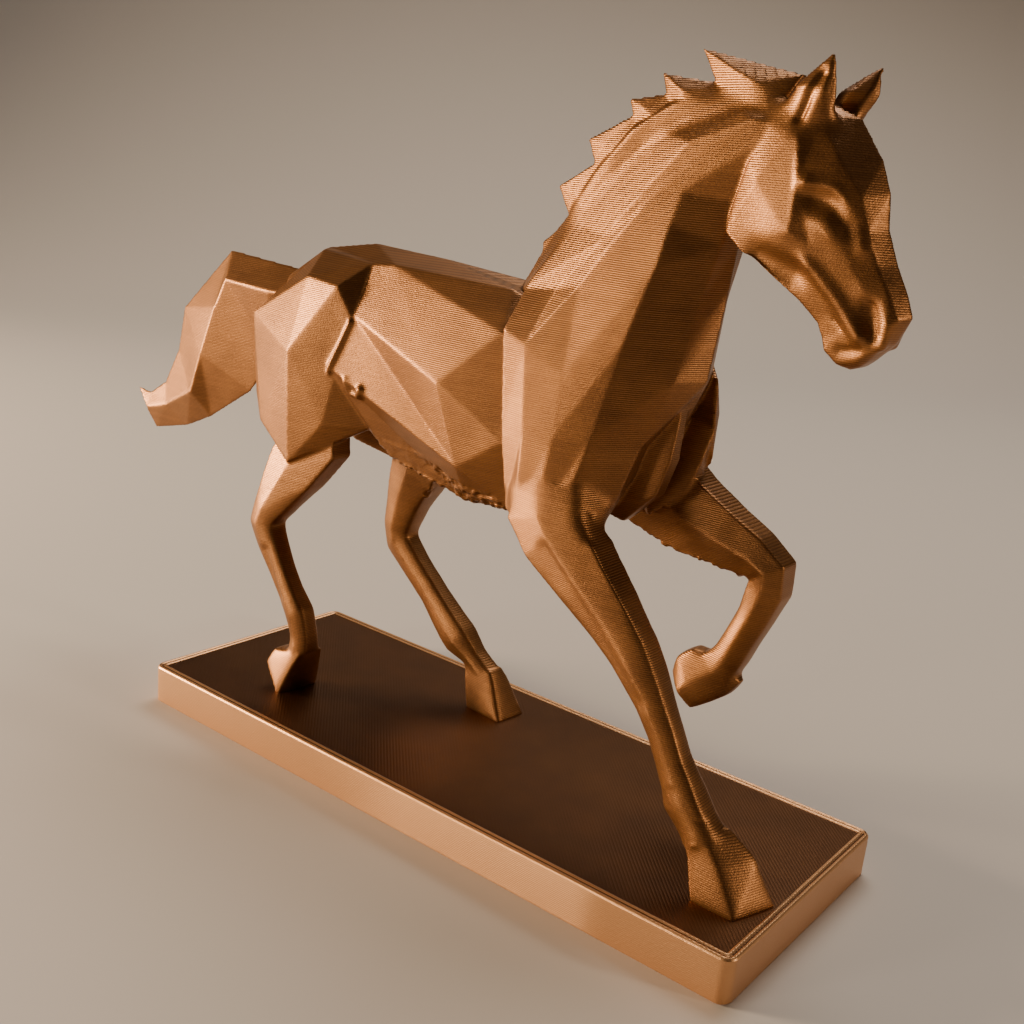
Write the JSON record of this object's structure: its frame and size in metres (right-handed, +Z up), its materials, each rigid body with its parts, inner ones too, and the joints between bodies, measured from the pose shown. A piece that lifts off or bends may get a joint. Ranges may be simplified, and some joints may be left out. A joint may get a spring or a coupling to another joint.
{
  "type": "geometric horse sculpture",
  "caption": "Faceted striding horse with one foreleg raised and a jagged mane, standing on a plain rectangular plate; a desk ornament.",
  "frame": {"origin": "centre of the plate's underside", "axes": "+Z up, +X along the plate towards the horse's head, +Y to the horse's left, the side of the raised foreleg"},
  "size_m": [0.1308, 0.0374, 0.0973],
  "materials": {
    "copper_plastic": "silky copper-coloured plastic with fine printed layers"
  },
  "bodies": {
    "root": {"horse_on_plate": "copper_plastic"}
  },
  "joints": []
}
